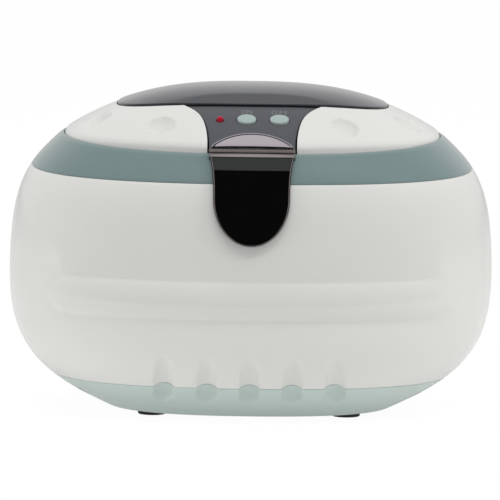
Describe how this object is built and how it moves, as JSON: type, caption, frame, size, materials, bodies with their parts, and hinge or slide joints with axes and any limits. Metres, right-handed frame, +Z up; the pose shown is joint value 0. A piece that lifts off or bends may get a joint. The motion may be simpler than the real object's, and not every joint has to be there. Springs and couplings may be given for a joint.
{
  "type": "ultrasonic bath",
  "caption": "Tabletop ultrasonic bath: barrel-shaped housing, hinged domed lid with a smoked window, push-button console, steel tank and lift-out basket.",
  "frame": {"origin": "on the table under the middle of the housing", "axes": "+Z up, -Y to the front with the console, +X to the right seen from the front"},
  "size_m": [0.2042, 0.1525, 0.1387],
  "materials": {
    "white_shell": "gloss moulded",
    "grey_green_trim": "gloss moulded",
    "pale_green_base": "gloss moulded",
    "dark_grey_panel": "satin moulded",
    "smoked_window": "polished, smoked",
    "smoked_clear": "polished, smoked clear",
    "black_plate": "printed sheet",
    "pale_button": "satin moulded",
    "red_light": "polished resin",
    "black_rubber": "moulded",
    "tank_steel": "drawn, satin",
    "silicone": "die cut",
    "zinc_steel": "zinc plated",
    "pin_steel": "ground",
    "aluminium_block": "turned",
    "piezo_ceramic": "fired",
    "copper_sheet": "rolled",
    "board_green": "glass fibre board",
    "ferrite": "sintered",
    "copper_wire": "enamelled",
    "can_sleeve": "shrink sleeve",
    "black_epoxy": "moulded",
    "fuse_glass": "tube",
    "basket_plastic": "moulded",
    "wire_sleeve": "extruded"
  },
  "bodies": {
    "housing": {"body_shell": "white_shell", "trim_ring": "grey_green_trim", "base_cover": "pale_green_base", "feet": "black_rubber", "base_screws": "zinc_steel", "hinge_pins": "pin_steel", "tank": "tank_steel", "tank_gasket": "silicone", "front_mass": "aluminium_block", "piezo_rings": "piezo_ceramic", "electrodes": "copper_sheet", "rear_mass": "zinc_steel", "transducer_bolt": "zinc_steel", "power_board": "board_green", "board_screws": "zinc_steel", "transformer_core": "ferrite", "transformer_winding": "copper_wire", "capacitors": "can_sleeve", "heat_sink": "aluminium_block", "transistors": "black_epoxy", "fuse": "fuse_glass", "power_inlet": "black_epoxy", "inlet_pins": "pin_steel", "console_panel": "dark_grey_panel", "tact_switches": "black_epoxy", "led": "red_light", "control_board": "board_green", "console_lens": "smoked_clear", "label_plate": "black_plate", "wires": "wire_sleeve"},
    "lid": {"lid_shell": "white_shell", "lid_window": "smoked_window"},
    "on_switch": {"on_button": "pale_button"},
    "off_switch": {"off_button": "pale_button"},
    "basket": {"basket": "basket_plastic", "basket_feet": "silicone"}
  },
  "joints": [
    {"name": "lid_hinge", "type": "hinge", "parent": "housing", "child": "lid", "pos_m": [0, 0.0645, 0.1185], "axis": [-1, 0, 0], "range_deg": [0, 95]},
    {"name": "on_button_press", "type": "slide", "parent": "housing", "child": "on_switch", "axis": [0, 0.4573, -0.8893], "range_m": [0, 0.0006], "stiffness_N_per_m": 400, "springref_m": -0.001},
    {"name": "off_button_press", "type": "slide", "parent": "housing", "child": "off_switch", "axis": [0, 0.4573, -0.8893], "range_m": [0, 0.0006], "stiffness_N_per_m": 400, "springref_m": -0.001},
    {"name": "basket_lift", "type": "slide", "parent": "housing", "child": "basket", "axis": [0, 0, 1], "range_m": [0, 0.012]}
  ]
}
